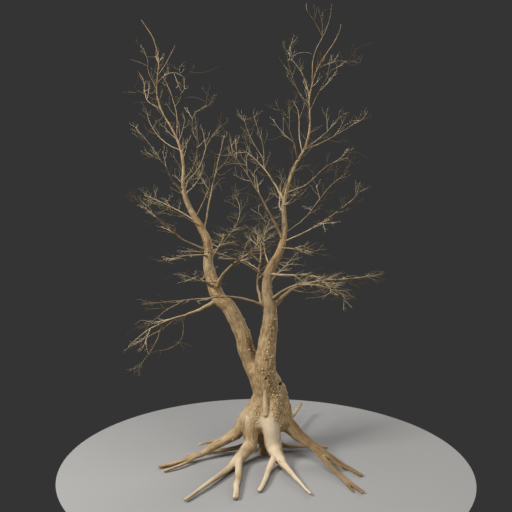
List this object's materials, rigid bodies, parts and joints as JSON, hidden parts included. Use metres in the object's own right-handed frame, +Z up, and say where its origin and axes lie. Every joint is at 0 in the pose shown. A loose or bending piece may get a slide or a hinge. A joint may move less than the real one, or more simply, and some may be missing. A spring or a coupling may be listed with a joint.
{
  "type": "dead tree",
  "caption": "Bare dead tree: a short flared trunk on exposed spreading roots, two winding stems from its fork, and tapering leafless boughs on both",
  "frame": {"origin": "middle of the flat cut under the trunk, at ground level", "axes": "+Z up along the trunk's growth, the crown's widest side along X, -Y is the side the two front roots point to"},
  "size_m": [3.4363, 2.8816, 5.944],
  "materials": {
    "trunk_bark": "dry matt bark",
    "bough_bark": "dry matt bark"
  },
  "bodies": {
    "root": {"trunk": "trunk_bark", "left_stem": "trunk_bark", "right_stem": "trunk_bark", "left_root": "trunk_bark", "front_left_root": "trunk_bark", "front_right_root": "trunk_bark", "right_root": "trunk_bark", "back_root": "trunk_bark", "back_left_root": "trunk_bark", "back_right_root": "trunk_bark", "left_root_fork": "trunk_bark", "front_left_fork": "trunk_bark", "front_right_fork": "trunk_bark", "right_root_fork": "trunk_bark", "left_low_bough": "bough_bark", "left_low_fork": "bough_bark", "left_front_bough": "bough_bark", "left_shelf_bough": "bough_bark", "left_wide_bough": "bough_bark", "left_level_bough": "bough_bark", "left_mid_bough": "bough_bark", "left_high_bough": "bough_bark", "left_crown_low": "bough_bark", "left_crown_top": "bough_bark", "left_inner_top": "bough_bark", "left_inner_rise": "bough_bark", "left_inner_bough": "bough_bark", "left_pair_near": "bough_bark", "left_pair_far": "bough_bark", "left_rising_bough": "bough_bark", "left_back_bough": "bough_bark", "left_cross_bough": "bough_bark", "left_lift_bough": "bough_bark", "right_low_cross": "bough_bark", "right_side_stem": "bough_bark", "right_side_arch": "bough_bark", "right_hind_bough": "bough_bark", "right_front_cross": "bough_bark", "right_long_bough": "bough_bark", "right_high_bough": "bough_bark", "right_prong_bough": "bough_bark", "right_fan_bough": "bough_bark", "right_upper_side": "bough_bark", "right_upper_wing": "bough_bark", "right_arm_bough": "bough_bark", "right_reach_bough": "bough_bark", "right_bend_bough": "bough_bark", "right_shelf_bough": "bough_bark", "right_level_bough": "bough_bark", "right_far_bough": "bough_bark", "right_far_twin": "bough_bark", "right_crown_low": "bough_bark", "right_crown_rise": "bough_bark", "right_top_bough": "bough_bark", "left_rear_bough": "bough_bark", "left_rear_high": "bough_bark", "right_rear_bough": "bough_bark", "right_rear_high": "bough_bark", "right_front_high": "bough_bark"}
  },
  "joints": []
}
